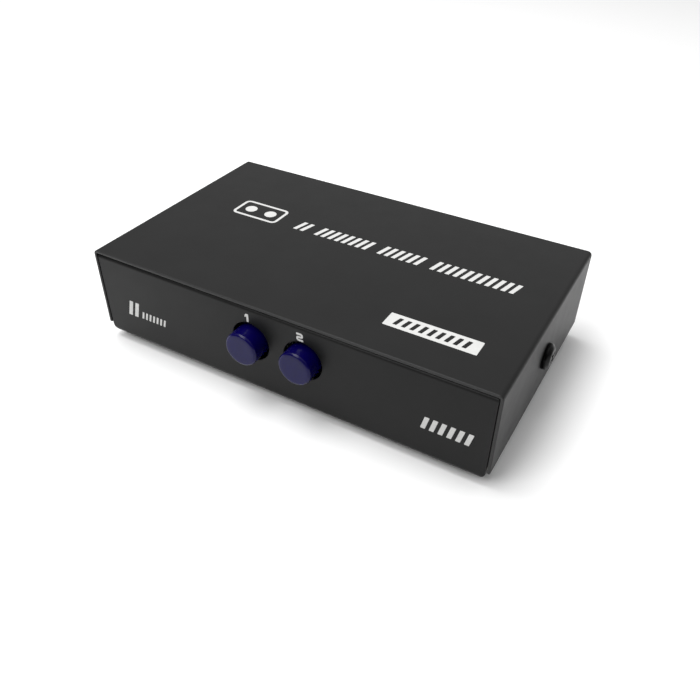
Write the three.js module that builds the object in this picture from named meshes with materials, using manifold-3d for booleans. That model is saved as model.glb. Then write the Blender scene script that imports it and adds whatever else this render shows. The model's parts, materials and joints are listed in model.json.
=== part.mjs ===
/**
 * Two-way push-button switch box for one shared device and two host computers.
 *
 * A folded steel case: a U-shaped cover over a tray that carries the front and rear panels. Inside, one
 * circuit board on standoffs holds two push-button stations at the front and three receptacles at the rear.
 *
 * Millimetres, +Z up. z = 0 is where the feet rest, and the origin is under the middle of the whole box,
 * with its buttons and receptacles. The front panel faces -Y, and +X is to the right seen from the front.
 * Inside the box group, y = 0 is the middle of the tray and z = 0 is its underside.
 */
import * as THREE from 'three';
import { mergeVertices } from 'three/addons/utils/BufferGeometryUtils.js';
import Module from 'manifold-3d';

// Case
const WIDTH = 110;
const DEPTH = 65;
const HEIGHT = 25;
const SHEET = 0.8;
const COVER_OVERHANG = 0.15; // cover edges stand proud of the front and rear panels
const COVER_BEND = 1.2; // outer radius of the cover's two bends
const COVER_SIDE_BOTTOM = 2.6;
const TRAY_CLEARANCE = 0.15; // between the tray and the inside of the cover's sides
const TRAY_TOP_GAP = 0.3; // between the tray's top flanges and the cover
const TRAY_LIP_TOP = 2.3; // the tray is as wide as the cover below this height
const TRAY_FLOOR_BEND = 1.6;
const TRAY_TOP_BEND = 1.0;
const TOP_FLANGE = 5; // the panels' inward top flanges
const SIDE_FLANGE_HEIGHT = 7;
const SIDE_FLANGE_LENGTH = 57;
const BEND_RELIEF = 1.6;
const EAR_WIDTH = 14;
const EAR_TOP = 18.5;
const SCREW_Z = 13.1;
const FOOT_HEIGHT = 1.8;
const FOOT_RADIUS = 4;
const FOOT_X = 46;
const FOOT_Y = 24;

// M3 screws
const SCREW_RADIUS = 1.45;
const SCREW_TAP_RADIUS = 1.55;
const SCREW_CLEAR_RADIUS = 1.75;
const HEAD_HEIGHT = 1.7;
const COVER_SCREW = { length: 6, headRadius: 3.3 };
const BOARD_SCREW = { length: 6, headRadius: 3 };
const SEAT_GAP = 0.02; // keeps touching faces from sharing volume

// Circuit board
const BOARD_BOTTOM = 6.8;
const BOARD_THICKNESS = 1.6;
const BOARD_TOP = BOARD_BOTTOM + BOARD_THICKNESS;
const BOARD_HALF_WIDTH = 36;
const BOARD_FRONT = -27.5;
const BOARD_REAR = 31;
const STANDOFF_X = 31.5;
const STANDOFF_YS = { front: -22.5, rear: 10 };
const STANDOFF_RADIUS = 3.2;
const PART_BOTTOM = BOARD_TOP + 0.1; // what is soldered down sits just over the board
const LEG_BOTTOM = 5.2; // solder legs end below the board

// Buttons
const STATIONS = { a: { x: -6.9, reach: 4.2 }, b: { x: 7.7, reach: 3.75 } };
const BUTTON_Z = 14.4;
const BUTTON_HOLE_RADIUS = 5.2;
const CAP_RADIUS = 4.4;
const CAP_EDGE = 0.4;
const CAP_LENGTH = 8.2;
const CAP_FACE_THICKNESS = 1.6;
const CAP_WALL = 0.9;
const CAP_BOSS_RADIUS = 2.9;
const TRAVEL = 3.2;

// Switch stations
const STEM = 3; // square stem inside the cap
const STEM_TIP = -34.5;
const NECK = 4.4; // square neck through the bracket and latch plate
const NECK_FRONT = -27.6;
const SLIDER = 5.8;
const SLIDER_FRONT = -20.5;
const SLIDER_REAR = -13.1;
const TAIL_RADIUS = 1.3;
const TOOTH = { front: -24.95, crest: -24.6, rear: -23.4, height: 0.9 };
const BRACKET_FRONT = -24.6;
const BRACKET_END_FLANGE = 4;
const BRACKET_TOP_REAR = -16.5;
const BRACKET_TOP = 20.85;
const BRACKET_CENTRE = (STATIONS.a.x + STATIONS.b.x) / 2;
const BRACKET_HALF_LENGTH = 18.2;
const HOUSING = { width: 12.6, front: -22, rear: -4.5, top: 19.9, wall: 1.2 };
const LATCH_THICKNESS = 0.6;
const LATCH_Y = -22.95;
const LATCH_HEIGHT = 9.8;
const LATCH_STROKE = 1;
const LATCH_ENDS = [-12.8, 13];
const SLIDING_GAP = 0.35;
const FIRST_POST_Y = -18.4;
const POST_YS = [0, 1, 2].map((step) => FIRST_POST_Y + step * TRAVEL); // fixed contacts, one travel apart
const POST_X = 4;
const POST_TOP = 16.2;
const BRIDGE_THICKNESS = 0.3;
const BRIDGE_HEIGHT = 2.6;

// Springs
const RETURN_SPRING = { radius: 1.95, wire: 0.25, turns: 6 };
const LATCH_SPRING = { radius: 0.62, wire: 0.12, turns: 6 };

// Receptacles
const PORT_FRONT = DEPTH / 2 + 0.5;
const PORT_SHEET = 0.35;
const PANEL_GAP = 0.3;
const HOST_PORT_X = 24;
const HOST = { width: 12, height: 11, length: 16.4, openWidth: 8.45, openHeight: 7.78, chamfer: 1.7 };
const HOST_TONGUE = { width: 5.6, height: 3.2, tip: PORT_FRONT - 1.1, root: PORT_FRONT - 9.4 };
const HOST_BLOCK_REAR = 20;
const DEVICE = { width: 13.14, height: 5.8, length: 14 };
const DEVICE_TONGUE = { width: 11.1, bottom: 11.5, height: 1.84, tip: PORT_FRONT - 0.8, root: 24.2 };
const DEVICE_BLOCK_REAR = 20.2;
const CONTACT_WIDTH = 1;
const CONTACT_SHEET = 0.3;
const CONTACT_GAP = 0.1;
const CONTACT_BEND = 0.25;
const LEG_ROWS = { near: 19.55, far: 17.55 };
const DEVICE_LEG_Y = 19.75;
const LEG_HOLE_RADIUS = 0.65;
const PIN_HOLE_RADIUS = 0.8;
const TAB = { width: 2, holeWidth: 2.6, holeDepth: 0.95 };

const wasm = await Module();
wasm.setup();

// Solids

/** A closed geometry as a solid that can be joined and cut. */
function solid(geometry) {
  geometry.deleteAttribute('normal');
  geometry.deleteAttribute('uv');
  const merged = mergeVertices(geometry);
  const mesh = new wasm.Mesh({
    numProp: 3,
    vertProperties: Float32Array.from(merged.attributes.position.array),
    triVerts: Uint32Array.from(merged.index.array),
  });
  return new wasm.Manifold(mesh);
}

/** The range of a given width about a centre. */
function about(centre, width) {
  return [centre - width / 2, centre + width / 2];
}

function block([x0, x1], [y0, y1], [z0, z1]) {
  const geometry = new THREE.BoxGeometry(x1 - x0, y1 - y0, z1 - z0);
  geometry.translate((x0 + x1) / 2, (y0 + y1) / 2, (z0 + z1) / 2);
  return solid(geometry);
}

function rodX(radius, [x0, x1], y, z, segments = 24) {
  const geometry = new THREE.CylinderGeometry(radius, radius, x1 - x0, segments);
  geometry.rotateZ(Math.PI / 2);
  geometry.translate((x0 + x1) / 2, y, z);
  return solid(geometry);
}

function rodY(radius, [y0, y1], x, z, segments = 24) {
  const geometry = new THREE.CylinderGeometry(radius, radius, y1 - y0, segments);
  geometry.translate(x, (y0 + y1) / 2, z);
  return solid(geometry);
}

function rodZ(radius, [z0, z1], x, y, segments = 24) {
  const geometry = new THREE.CylinderGeometry(radius, radius, z1 - z0, segments);
  geometry.rotateX(Math.PI / 2);
  geometry.translate(x, y, (z0 + z1) / 2);
  return solid(geometry);
}

/** Extrudes an outline drawn in Y and Z along X. */
function extrudeX(outline, [x0, x1]) {
  const geometry = new THREE.ExtrudeGeometry(outline, { depth: x1 - x0, bevelEnabled: false });
  const axes = [new THREE.Vector3(0, 1, 0), new THREE.Vector3(0, 0, 1), new THREE.Vector3(1, 0, 0)];
  geometry.applyMatrix4(new THREE.Matrix4().makeBasis(...axes));
  geometry.translate(x0, 0, 0);
  return solid(geometry);
}

/** Extrudes an outline drawn in X and Z along Y. */
function extrudeY(outline, [y0, y1]) {
  const geometry = new THREE.ExtrudeGeometry(outline, { depth: y1 - y0, bevelEnabled: false });
  const axes = [new THREE.Vector3(1, 0, 0), new THREE.Vector3(0, 0, 1), new THREE.Vector3(0, -1, 0)];
  geometry.applyMatrix4(new THREE.Matrix4().makeBasis(...axes));
  geometry.translate(0, y1, 0);
  return solid(geometry);
}

/** Extrudes an outline drawn in X and Y along Z. */
function extrudeZ(outline, [z0, z1]) {
  const geometry = new THREE.ExtrudeGeometry(outline, { depth: z1 - z0, bevelEnabled: false });
  geometry.translate(0, 0, z0);
  return solid(geometry);
}

/** Solid of revolution about Z, from a profile of [radius, z] pairs. */
function turned(profile, segments) {
  const points = profile.map(([radius, z]) => new THREE.Vector2(radius, z));
  const geometry = new THREE.LatheGeometry(points, segments);
  geometry.rotateX(Math.PI / 2);
  return solid(geometry);
}

/** Outline of bent sheet: a middle line with a radius at each corner, thickened to both sides. */
function bentSheet(corners, radii, thickness, arcSteps = 6) {
  const line = corners.map(([x, y]) => new THREE.Vector2(x, y));
  const leftOf = (direction) => new THREE.Vector2(-direction.y, direction.x);
  const heading = (i) => line[i + 1].clone().sub(line[i]).normalize();
  const stations = [{ point: line[0], normal: leftOf(heading(0)) }];
  for (let i = 1; i < line.length - 1; i++) {
    const before = heading(i - 1);
    const turn = Math.asin(THREE.MathUtils.clamp(before.cross(heading(i)), -1, 1));
    const radius = radii[i - 1];
    const side = Math.sign(turn);
    const setback = radius * Math.tan(Math.abs(turn) / 2);
    const start = line[i].clone().addScaledVector(before, -setback);
    const centre = start.addScaledVector(leftOf(before), radius * side);
    for (let step = 0; step <= arcSteps; step++) {
      const angle = (turn * step) / arcSteps;
      const normal = leftOf(before).rotateAround(new THREE.Vector2(), angle);
      stations.push({ point: centre.clone().addScaledVector(normal, -radius * side), normal });
    }
  }
  stations.push({ point: line.at(-1), normal: leftOf(heading(line.length - 2)) });
  const offset = ({ point, normal }, distance) => point.clone().addScaledVector(normal, distance);
  const left = stations.map((station) => offset(station, thickness / 2));
  const right = stations.map((station) => offset(station, -thickness / 2)).reverse();
  return new THREE.Shape([...left, ...right]);
}

/** A named mesh of one solid, with a material of its own. */
function piece(name, shape, look) {
  const { vertProperties, triVerts } = shape.getMesh();
  const geometry = new THREE.BufferGeometry();
  geometry.setAttribute('position', new THREE.BufferAttribute(vertProperties, 3));
  geometry.setIndex(new THREE.BufferAttribute(triVerts, 1));
  geometry.computeVertexNormals();
  const mesh = new THREE.Mesh(geometry, new THREE.MeshStandardMaterial({ ...look, flatShading: true }));
  mesh.name = name;
  return mesh;
}

// Looks
const POWDER_COAT = { color: 0x373737, roughness: 0.62, metalness: 0.1 };
const BLACK_SCREW = { color: 0x1d1d1f, roughness: 0.4, metalness: 0.8 };
const RUBBER = { color: 0x161616, roughness: 0.9, metalness: 0 };
const INDIGO_PLASTIC = { color: 0x1a1748, roughness: 0.35, metalness: 0 };
const BOARD_GREEN = { color: 0x1c5a34, roughness: 0.5, metalness: 0 };
const ZINC_STEEL = { color: 0xa9adb2, roughness: 0.38, metalness: 0.9 };
const NICKEL = { color: 0xc4c2bb, roughness: 0.25, metalness: 1 };
const BLACK_PLASTIC = { color: 0x151515, roughness: 0.55, metalness: 0 };
const WHITE_PLASTIC = { color: 0xe6e4dc, roughness: 0.5, metalness: 0 };
const BRONZE = { color: 0xb98a4a, roughness: 0.3, metalness: 1 };
const GOLD = { color: 0xd9b25a, roughness: 0.25, metalness: 1 };
const SPRING_STEEL = { color: 0x8d9094, roughness: 0.3, metalness: 1 };

// Case

function topCover() {
  const side = WIDTH / 2 - SHEET / 2;
  const top = HEIGHT - SHEET / 2;
  const line = [[-side, COVER_SIDE_BOTTOM], [-side, top], [side, top], [side, COVER_SIDE_BOTTOM]];
  const bend = COVER_BEND - SHEET / 2;
  const shell = extrudeY(bentSheet(line, [bend, bend], SHEET), about(0, DEPTH + 2 * COVER_OVERHANG));
  const screwHoles = rodX(SCREW_CLEAR_RADIUS, about(0, WIDTH + 2), 0, SCREW_Z);
  return piece('top_cover', shell.subtract(screwHoles), POWDER_COAT);
}

/** The tray's upturned side: a low flange with a taller ear that the cover screw holds. */
function traySide(side) {
  const outer = WIDTH / 2 - SHEET - TRAY_CLEARANCE;
  const middle = outer - SHEET / 2;
  const corner = [
    [side * (middle - 4), SHEET / 2], [side * middle, SHEET / 2], [side * middle, SIDE_FLANGE_HEIGHT],
  ];
  const outlineXZ = bentSheet(corner, [TRAY_FLOOR_BEND - SHEET / 2], SHEET);
  const flange = extrudeY(outlineXZ, about(0, SIDE_FLANGE_LENGTH));
  const earRound = 3;
  const outline = new THREE.Shape();
  outline.moveTo(-EAR_WIDTH / 2, SIDE_FLANGE_HEIGHT - 1);
  outline.lineTo(EAR_WIDTH / 2, SIDE_FLANGE_HEIGHT - 1);
  outline.absarc(EAR_WIDTH / 2 - earRound, EAR_TOP - earRound, earRound, 0, Math.PI / 2);
  outline.absarc(-EAR_WIDTH / 2 + earRound, EAR_TOP - earRound, earRound, Math.PI / 2, Math.PI);
  const ear = extrudeX(outline, about(side * middle, SHEET));
  return flange.add(ear);
}

function portCutout(x, port) {
  const height = [PART_BOTTOM - PANEL_GAP, PART_BOTTOM + port.height + PANEL_GAP];
  return block(about(x, port.width + 2 * PANEL_GAP), [DEPTH / 2 - 2, DEPTH / 2 + 2], height);
}

function baseTray() {
  const halfWidth = WIDTH / 2 - SHEET - TRAY_CLEARANCE;
  const panel = DEPTH / 2 - SHEET / 2;
  const floor = SHEET / 2;
  const flange = HEIGHT - 1.5 * SHEET - TRAY_TOP_GAP;
  const line = [
    [-panel + TOP_FLANGE, flange], [-panel, flange], [-panel, floor],
    [panel, floor], [panel, flange], [panel - TOP_FLANGE, flange],
  ];
  const topBend = TRAY_TOP_BEND - SHEET / 2;
  const floorBend = TRAY_FLOOR_BEND - SHEET / 2;
  const radii = [topBend, floorBend, floorBend, topBend];
  let tray = extrudeX(bentSheet(line, radii, SHEET), about(0, WIDTH));
  for (const side of [-1, 1]) {
    const sideWall = about(side * (halfWidth + 1), 2);
    tray = tray.subtract(block(sideWall, about(0, DEPTH + 2), [TRAY_LIP_TOP, HEIGHT]));
    const edge = about(side * halfWidth, 2 * TRAY_FLOOR_BEND);
    tray = tray.subtract(block(edge, about(0, SIDE_FLANGE_LENGTH + 2 * BEND_RELIEF), [-1, 2]));
    tray = tray.add(traySide(side));
  }
  tray = tray.subtract(rodX(SCREW_TAP_RADIUS, about(0, WIDTH), 0, SCREW_Z));
  for (const { x } of Object.values(STATIONS)) {
    tray = tray.subtract(rodY(BUTTON_HOLE_RADIUS, about(-DEPTH / 2, 4), x, BUTTON_Z, 48));
  }
  tray = tray.subtract(portCutout(0, DEVICE));
  tray = tray.subtract(portCutout(-HOST_PORT_X, HOST)).subtract(portCutout(HOST_PORT_X, HOST));
  return piece('base_tray', tray, POWDER_COAT);
}

/** Pan-head screw with a cross recess. The shank runs down from z = 0 and the head stands on it. */
function panScrew(name, { length, headRadius }, segments, look) {
  const domeEdge = 0.55 * HEAD_HEIGHT;
  const profile = [
    [0, -length], [SCREW_RADIUS - 0.3, -length], [SCREW_RADIUS, 0.3 - length],
    [SCREW_RADIUS, SEAT_GAP], [headRadius, SEAT_GAP], [headRadius, domeEdge],
    [0.9 * headRadius, 0.85 * HEAD_HEIGHT], [0.62 * headRadius, HEAD_HEIGHT], [0, HEAD_HEIGHT],
  ];
  const recess = [0.45 * HEAD_HEIGHT, HEAD_HEIGHT + 1];
  const slotLength = 3.2;
  const slotWidth = 0.75;
  const cross = block(about(0, slotLength), about(0, slotWidth), recess)
    .add(block(about(0, slotWidth), about(0, slotLength), recess));
  return piece(name, turned(profile, segments).subtract(cross), look);
}

function coverScrews() {
  const group = new THREE.Group();
  for (const [name, side] of [['cover_screw_left', -1], ['cover_screw_right', 1]]) {
    const screw = panScrew(name, COVER_SCREW, 28, BLACK_SCREW);
    screw.position.set((side * WIDTH) / 2, 0, SCREW_Z);
    screw.rotation.y = (side * Math.PI) / 2;
    group.add(screw);
  }
  return group;
}

function foot(name) {
  const edge = 0.4;
  const top = -SEAT_GAP;
  const profile = [
    [0, -FOOT_HEIGHT], [FOOT_RADIUS - 0.3 - edge, -FOOT_HEIGHT], [FOOT_RADIUS - 0.3, edge - FOOT_HEIGHT],
    [FOOT_RADIUS, top], [0, top],
  ];
  return piece(name, turned(profile, 32), RUBBER);
}

function feet() {
  const group = new THREE.Group();
  for (const [row, y] of [['front', -FOOT_Y], ['rear', FOOT_Y]]) {
    for (const [hand, x] of [['left', -FOOT_X], ['right', FOOT_X]]) {
      const part = foot(`foot_${row}_${hand}`);
      part.position.set(x, y, 0);
      group.add(part);
    }
  }
  return group;
}

// Circuit board

/** Every hole that legs, pins, tabs and screws need through the board. */
function boardHoles() {
  const through = [BOARD_BOTTOM - 1, BOARD_TOP + 1];
  const holes = [];
  for (const y of Object.values(STANDOFF_YS)) {
    for (const x of [-STANDOFF_X, STANDOFF_X]) {
      holes.push(rodZ(SCREW_CLEAR_RADIUS, through, x, y, 16));
    }
  }
  for (const { x } of Object.values(STATIONS)) {
    for (const y of POST_YS) {
      holes.push(rodZ(PIN_HOLE_RADIUS, through, x - POST_X, y, 8));
      holes.push(rodZ(PIN_HOLE_RADIUS, through, x + POST_X, y, 8));
    }
  }
  for (const x of bracketTabXs()) {
    holes.push(block(about(x, TAB.holeWidth), about(BRACKET_FRONT + SHEET / 2, 1.4), through));
  }
  for (const portX of [-HOST_PORT_X, HOST_PORT_X]) {
    for (const y of Object.values(LEG_ROWS)) {
      for (const x of hostContactXs()) {
        holes.push(rodZ(LEG_HOLE_RADIUS, through, portX + x, y, 8));
      }
    }
    holes.push(...tabHoles(portX, HOST, through));
  }
  for (const x of deviceContactXs()) {
    holes.push(rodZ(LEG_HOLE_RADIUS, through, x, DEVICE_LEG_Y, 8));
  }
  holes.push(...tabHoles(0, DEVICE, through));
  return holes.reduce((sum, hole) => sum.add(hole));
}

function circuitBoard() {
  const thickness = [BOARD_BOTTOM, BOARD_TOP];
  const board = block(about(0, 2 * BOARD_HALF_WIDTH), [BOARD_FRONT, BOARD_REAR], thickness);
  return piece('circuit_board', board.subtract(boardHoles()), BOARD_GREEN);
}

function boardFixings() {
  const group = new THREE.Group();
  for (const [row, y] of Object.entries(STANDOFF_YS)) {
    for (const [hand, x] of [['left', -STANDOFF_X], ['right', STANDOFF_X]]) {
      const height = [SHEET + SEAT_GAP, BOARD_BOTTOM - SEAT_GAP];
      const bore = rodZ(SCREW_TAP_RADIUS, [2, BOARD_TOP], 0, 0, 16);
      const body = rodZ(STANDOFF_RADIUS, height, 0, 0, 6).subtract(bore);
      const standoff = piece(`board_standoff_${row}_${hand}`, body, ZINC_STEEL);
      const screw = panScrew(`board_screw_${row}_${hand}`, BOARD_SCREW, 16, ZINC_STEEL);
      standoff.position.set(x, y, 0);
      screw.position.set(x, y, BOARD_TOP);
      group.add(standoff, screw);
    }
  }
  return group;
}

// Receptacles

function hostContactXs() {
  return [-1.25, 1.25];
}

function deviceContactXs() {
  return [-3.5, -1, 1, 3.5];
}

function tabY(port) {
  return PORT_FRONT - 0.45 * port.length;
}

/** Slots in the board for a shell's two solder tabs. */
function tabHoles(x, port, through) {
  const offset = (port.width - PORT_SHEET) / 2;
  return [-offset, offset].map((dx) => {
    return block(about(x + dx, TAB.holeDepth), about(tabY(port), TAB.holeWidth), through);
  });
}

function solderTabs(port) {
  const offset = (port.width - PORT_SHEET) / 2;
  const height = [LEG_BOTTOM + 0.6, PART_BOTTOM + 1];
  return [-offset, offset].map((dx) => block(about(dx, PORT_SHEET), about(tabY(port), TAB.width), height));
}

/** A contact strip along a tongue that turns down behind the insulator and through the board. */
function contact(name, x, stripZ, tipY, legY) {
  const line = [[tipY, stripZ], [legY, stripZ], [legY, LEG_BOTTOM]];
  const outline = bentSheet(line, [CONTACT_BEND], CONTACT_SHEET, 4);
  return piece(name, extrudeX(outline, about(x, CONTACT_WIDTH)), GOLD);
}

/** Slot that a contact strip lies in, along the tongue and through the insulator. */
function contactSlot(x, stripZ, tipY) {
  return block(about(x, CONTACT_WIDTH + 2 * CONTACT_GAP), [0, tipY + CONTACT_GAP],
    about(stripZ, CONTACT_SHEET + 2 * CONTACT_GAP));
}

/** Mouth of a host port: a rectangle with its upper corners cut off. */
function hostOpening(centreZ) {
  const w = HOST.openWidth / 2;
  const h = HOST.openHeight / 2;
  const c = HOST.chamfer;
  const corners = [[-w, -h], [w, -h], [w, h - c], [w - c, h], [c - w, h], [-w, h - c]];
  return new THREE.Shape(corners.map(([x, z]) => new THREE.Vector2(x, centreZ + z)));
}

function hostPort(prefix) {
  const centreZ = PART_BOTTOM + HOST.height / 2;
  const rear = PORT_FRONT - HOST.length;
  const hollow = HOST.width - 2 * PORT_SHEET;
  const inner = [PART_BOTTOM + PORT_SHEET, PART_BOTTOM + HOST.height - PORT_SHEET];
  const mouth = extrudeY(hostOpening(centreZ), [HOST_TONGUE.root, PORT_FRONT + 1]);
  let shell = block(about(0, HOST.width), [rear, PORT_FRONT], [PART_BOTTOM, PART_BOTTOM + HOST.height]);
  shell = shell.subtract(block(about(0, hollow), [rear - 1, PORT_FRONT - PORT_SHEET], inner)).subtract(mouth);
  shell = shell.subtract(block(about(0, 6), [rear - 1, HOST_BLOCK_REAR + 0.2], about(PART_BOTTOM, 1.2)));
  for (const tab of solderTabs(HOST)) {
    shell = shell.add(tab);
  }

  const tongueZ = about(centreZ, HOST_TONGUE.height);
  const strips = { upper: tongueZ[1] - 0.05, lower: tongueZ[0] + 0.05 };
  const stripTip = HOST_TONGUE.tip - 0.9;
  let insulator = block(about(0, hollow - 0.2), [HOST_BLOCK_REAR, PORT_FRONT - PORT_SHEET - CONTACT_GAP],
    [inner[0] + 0.1, inner[1] - 0.1]);
  insulator = insulator.subtract(mouth);
  const tongueYs = [HOST_TONGUE.root - 1, HOST_TONGUE.tip];
  insulator = insulator.add(block(about(0, HOST_TONGUE.width), tongueYs, tongueZ));
  const group = new THREE.Group();
  let number = 1;
  for (const [stripZ, legY] of [[strips.upper, LEG_ROWS.far], [strips.lower, LEG_ROWS.near]]) {
    for (const x of hostContactXs()) {
      insulator = insulator.subtract(contactSlot(x, stripZ, stripTip));
      group.add(contact(`${prefix}_contact_${number}`, x, stripZ, stripTip, legY));
      number += 1;
    }
  }
  group.add(piece(`${prefix}_shell`, shell, NICKEL), piece(`${prefix}_insulator`, insulator, BLACK_PLASTIC));
  return group;
}

function roundedSection(width, height, radius, centreZ) {
  const w = width / 2 - radius;
  const h = height / 2 - radius;
  const outline = new THREE.Shape();
  outline.absarc(w, centreZ + h, radius, 0, Math.PI / 2);
  outline.absarc(-w, centreZ + h, radius, Math.PI / 2, Math.PI);
  outline.absarc(-w, centreZ - h, radius, Math.PI, 1.5 * Math.PI);
  outline.absarc(w, centreZ - h, radius, 1.5 * Math.PI, 2 * Math.PI);
  return new THREE.Shape(outline.getPoints(3));
}

function devicePort(prefix) {
  const centreZ = PART_BOTTOM + DEVICE.height / 2;
  const rear = PORT_FRONT - DEVICE.length;
  const openWidth = DEVICE.width - 2 * PORT_SHEET;
  const openHeight = DEVICE.height - 2 * PORT_SHEET;
  let shell = extrudeY(roundedSection(DEVICE.width, DEVICE.height, 0.7, centreZ), [rear, PORT_FRONT]);
  const mouth = roundedSection(openWidth, openHeight, 0.35, centreZ);
  shell = shell.subtract(extrudeY(mouth, [rear - 1, PORT_FRONT + 1]));
  shell = shell.subtract(block(about(0, 9), [rear - 1, DEVICE_BLOCK_REAR + 0.2], about(PART_BOTTOM, 1.2)));
  for (const tab of solderTabs(DEVICE)) {
    shell = shell.add(tab);
  }

  const tongueZ = [DEVICE_TONGUE.bottom, DEVICE_TONGUE.bottom + DEVICE_TONGUE.height];
  const stripZ = DEVICE_TONGUE.bottom + 0.05;
  const stripTip = DEVICE_TONGUE.tip - 0.9;
  let insulator = block(about(0, openWidth - 0.3), [DEVICE_BLOCK_REAR, DEVICE_TONGUE.root],
    about(centreZ, openHeight - 0.3));
  const tongueYs = [DEVICE_TONGUE.root - 1, DEVICE_TONGUE.tip];
  insulator = insulator.add(block(about(0, DEVICE_TONGUE.width), tongueYs, tongueZ));
  const group = new THREE.Group();
  deviceContactXs().forEach((x, index) => {
    insulator = insulator.subtract(contactSlot(x, stripZ, stripTip));
    group.add(contact(`${prefix}_contact_${index + 1}`, x, stripZ, stripTip, DEVICE_LEG_Y));
  });
  group.add(piece(`${prefix}_shell`, shell, NICKEL), piece(`${prefix}_insulator`, insulator, WHITE_PLASTIC));
  return group;
}

function ports() {
  const group = new THREE.Group();
  const hostOne = hostPort('host_port_1');
  const hostTwo = hostPort('host_port_2');
  hostOne.position.x = -HOST_PORT_X;
  hostTwo.position.x = HOST_PORT_X;
  group.add(hostOne, hostTwo, devicePort('device_port'));
  return group;
}

// Switch stations. Each station's own x = 0 is its button's axis.

/** The way through a plate for a plunger's neck and its latch tooth, with room for the latch's stroke. */
function neckWindow(x, [y0, y1], strokeRoom) {
  const half = NECK / 2 + SLIDING_GAP;
  return block([x - half - strokeRoom, x + half + TOOTH.height], [y0 - 1, y1 + 1], about(BUTTON_Z, 2 * half));
}

function buttonCap(name, reach) {
  const faceRadius = CAP_RADIUS - CAP_EDGE;
  const edge = [1, 2, 3].map((step) => {
    const angle = (step * Math.PI) / 6;
    return [faceRadius + CAP_EDGE * Math.sin(angle), CAP_LENGTH - CAP_EDGE * (1 - Math.cos(angle))];
  });
  const hollow = CAP_LENGTH - 2.4;
  const profile = [
    [0, CAP_LENGTH], [faceRadius, CAP_LENGTH], ...edge, [CAP_RADIUS, 0], [CAP_RADIUS - CAP_WALL, 0],
    [CAP_RADIUS - CAP_WALL, hollow], [CAP_BOSS_RADIUS, hollow], [CAP_BOSS_RADIUS, 0], [0, 0],
  ].reverse();
  const socket = STEM + 0.3;
  const cap = turned(profile, 40)
    .subtract(block(about(0, socket), about(0, socket), [-1, CAP_LENGTH - CAP_FACE_THICKNESS]));
  const mesh = piece(name, cap, INDIGO_PLASTIC);
  mesh.rotation.x = Math.PI / 2;
  mesh.position.set(0, -DEPTH / 2 - reach + CAP_LENGTH, BUTTON_Z);
  return mesh;
}

function plunger(name) {
  const square = (size, ys) => block(about(0, size), ys, about(BUTTON_Z, size));
  const tooth = new THREE.Shape([
    new THREE.Vector2(0, TOOTH.front),
    new THREE.Vector2(NECK / 2 + TOOTH.height, TOOTH.front),
    new THREE.Vector2(NECK / 2 + TOOTH.height, TOOTH.crest),
    new THREE.Vector2(NECK / 2, TOOTH.rear),
    new THREE.Vector2(0, TOOTH.rear),
  ]);
  let body = square(STEM, [STEM_TIP, NECK_FRONT + 1]);
  body = body.add(square(NECK, [NECK_FRONT, SLIDER_FRONT + 1]));
  body = body.add(extrudeZ(tooth, about(BUTTON_Z, NECK - 1)));
  body = body.add(square(SLIDER, [SLIDER_FRONT, SLIDER_REAR]));
  body = body.add(rodY(TAIL_RADIUS, [SLIDER_REAR - 1, HOUSING.rear + 0.6], 0, BUTTON_Z));
  const pocketWall = 0.6;
  const pocketYs = [SLIDER_FRONT + pocketWall, SLIDER_REAR - pocketWall];
  for (const side of [-1, 1]) {
    const pocketXs = about(side * (SLIDER / 2), 0.9);
    body = body.subtract(block(pocketXs, pocketYs, about(BUTTON_Z, BRIDGE_HEIGHT + 0.4)));
  }
  return piece(name, body, WHITE_PLASTIC);
}

/** Sliding contact: a bent strip with one bump against each of two neighbouring posts. */
function contactBridge(name, side) {
  const seat = SLIDER / 2 - 0.15;
  const bump = POST_X - 0.25 - 0.15 - BRIDGE_THICKNESS / 2;
  const end = (seat + bump) / 2;
  const [front, rear] = POST_YS;
  const line = [
    [end, front - 1], [bump, front], [seat, front + 1.1], [seat, rear - 1.1], [bump, rear], [end, rear + 1],
  ].map(([x, y]) => [side * x, y]);
  const outline = bentSheet(line, [0.4, 0.4, 0.4, 0.4], BRIDGE_THICKNESS, 3);
  return piece(name, extrudeZ(outline, about(BUTTON_Z, BRIDGE_HEIGHT)), BRONZE);
}

function switchHousing(name) {
  const { width, front, rear, top, wall } = HOUSING;
  const grooveDepth = 0.7;
  let shell = block(about(0, width), [front, rear], [PART_BOTTOM, top]);
  const hollowYs = [front + wall, rear - wall];
  shell = shell.subtract(block(about(0, width - 2 * wall), hollowYs, [PART_BOTTOM - 1, top - wall]));
  shell = shell.subtract(neckWindow(0, [front, front + wall], 0));
  shell = shell.subtract(rodY(TAIL_RADIUS + 0.3, [rear - wall - 1, rear + 1], 0, BUTTON_Z));
  shell = shell.subtract(block(about(0, width + 2), [BRACKET_TOP_REAR - 1.1, BRACKET_TOP_REAR + 0.3],
    [top - grooveDepth, top + 1]));
  return piece(name, shell, BLACK_PLASTIC);
}

/** The housing's floor, with six contact posts whose pins go through the circuit board. */
function terminalBoard(name) {
  const { width, front, rear, wall } = HOUSING;
  const margin = wall + 0.1;
  const thickness = [PART_BOTTOM, PART_BOTTOM + 1.2];
  let board = block(about(0, width - 2 * margin), [front + margin, rear - margin], thickness);
  for (const y of POST_YS) {
    for (const side of [-1, 1]) {
      board = board.add(block(about(side * POST_X, 0.5), about(y, 1), [LEG_BOTTOM, POST_TOP]));
    }
  }
  return piece(name, board, BLACK_PLASTIC);
}

/** Helix about Y whose end turns lie closer together than its middle ones. */
class Coil extends THREE.Curve {
  constructor(radius, length, turns) {
    super();
    this.radius = radius;
    this.length = length;
    this.turns = turns;
  }

  getPoint(t, target = new THREE.Vector3()) {
    const angle = 2 * Math.PI * this.turns * t;
    const along = this.length * (t - (0.5 * Math.sin(2 * Math.PI * t)) / (2 * Math.PI));
    return target.set(this.radius * Math.cos(angle), along, this.radius * Math.sin(angle));
  }
}

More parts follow.
